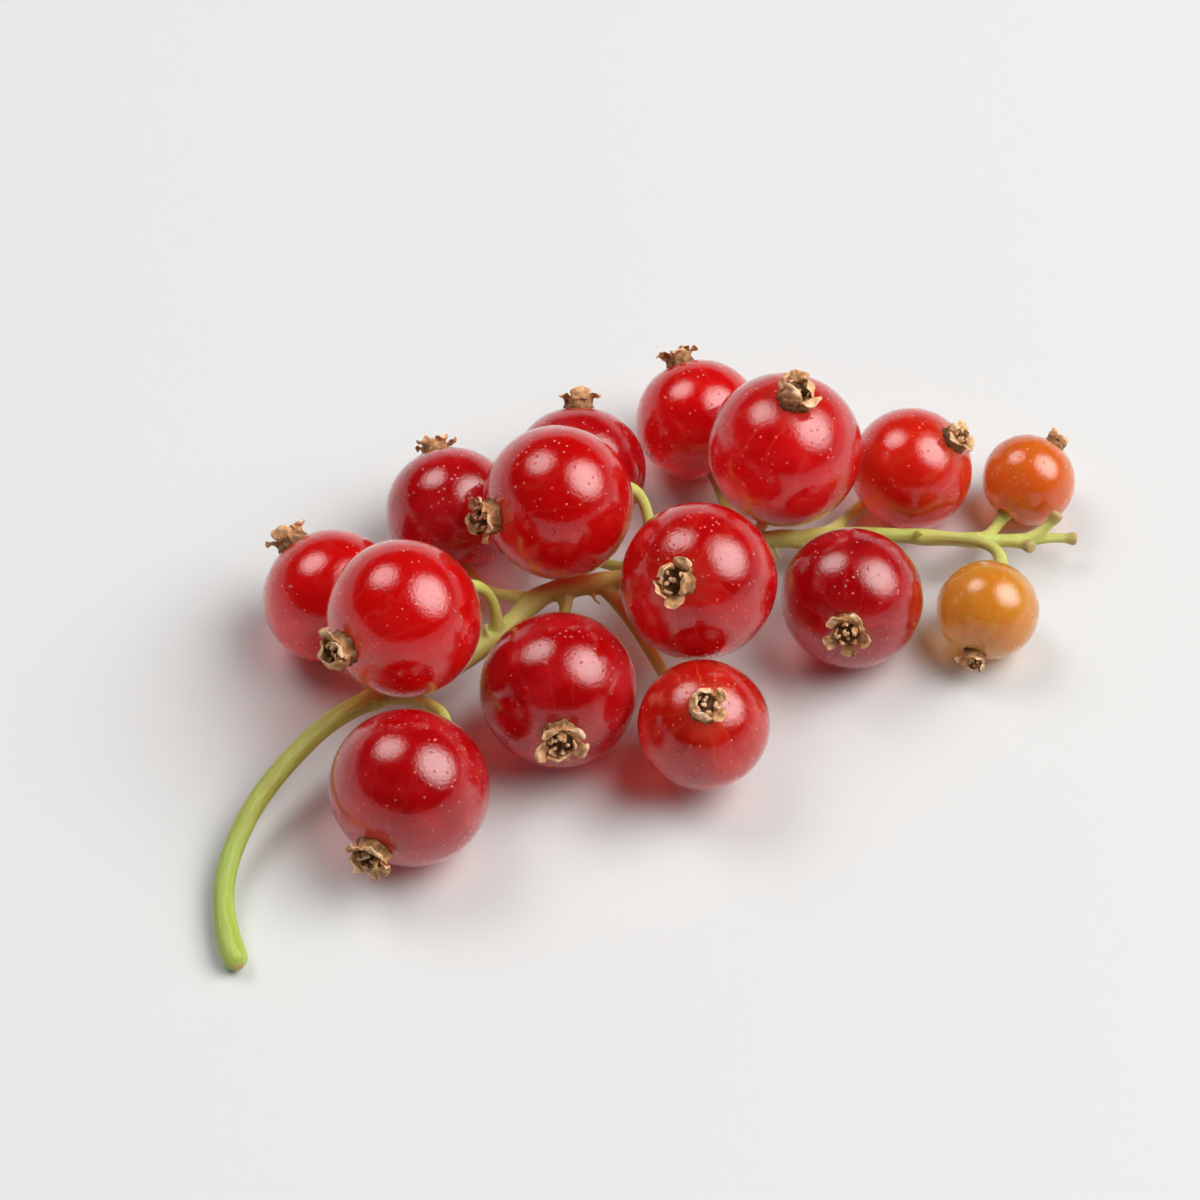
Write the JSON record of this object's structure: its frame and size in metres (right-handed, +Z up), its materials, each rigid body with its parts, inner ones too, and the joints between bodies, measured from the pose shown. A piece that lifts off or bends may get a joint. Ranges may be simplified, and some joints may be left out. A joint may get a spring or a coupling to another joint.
{
  "type": "redcurrant strig",
  "caption": "Fresh strig of redcurrants lying on a surface: glossy translucent berries on short pedicels along one thin green stalk, each tipped with its dried flower.",
  "frame": {"origin": "middle of the strig's bounding box, on the surface it lies on", "axes": "+X along the strig from the cut end of its stalk to its tip, +Y across it, +Z up"},
  "size_m": [0.0662, 0.0332, 0.0145],
  "materials": {
    "green_stem": "fresh green stalk, faintly ridged, turning yellow-green towards the tip",
    "skin_dark": "smooth taut translucent berry skin, very glossy, with faint pale lengthwise veins and tiny pale specks, deep crimson",
    "skin_red": "smooth taut translucent berry skin, very glossy, with faint pale lengthwise veins and tiny pale specks, bright red",
    "skin_bright": "smooth taut translucent berry skin, very glossy, with faint pale lengthwise veins and tiny pale specks, orange-red",
    "skin_orange": "smooth taut translucent berry skin, very glossy, with faint pale lengthwise veins and tiny pale specks, orange, not quite ripe",
    "skin_green": "smooth taut translucent berry skin, very glossy, with faint pale lengthwise veins and tiny pale specks, greenish orange, unripe",
    "dried_flower": "dry, papery, crumpled tan-brown flower remains with a dark centre"
  },
  "bodies": {
    "root": {"strig_stem": "green_stem", "berry_01": "skin_dark", "berry_02": "skin_red", "berry_03": "skin_red", "berry_04": "skin_dark", "berry_05": "skin_dark", "berry_06": "skin_bright", "berry_07": "skin_red", "berry_08": "skin_dark", "berry_09": "skin_red", "berry_10": "skin_red", "berry_11": "skin_red", "berry_12": "skin_dark", "berry_13": "skin_bright", "berry_14": "skin_green", "berry_15": "skin_orange", "calyx_01": "dried_flower", "calyx_02": "dried_flower", "calyx_03": "dried_flower", "calyx_04": "dried_flower", "calyx_05": "dried_flower", "calyx_06": "dried_flower", "calyx_07": "dried_flower", "calyx_08": "dried_flower", "calyx_09": "dried_flower", "calyx_10": "dried_flower", "calyx_11": "dried_flower", "calyx_12": "dried_flower", "calyx_13": "dried_flower", "calyx_14": "dried_flower", "calyx_15": "dried_flower"}
  },
  "joints": []
}
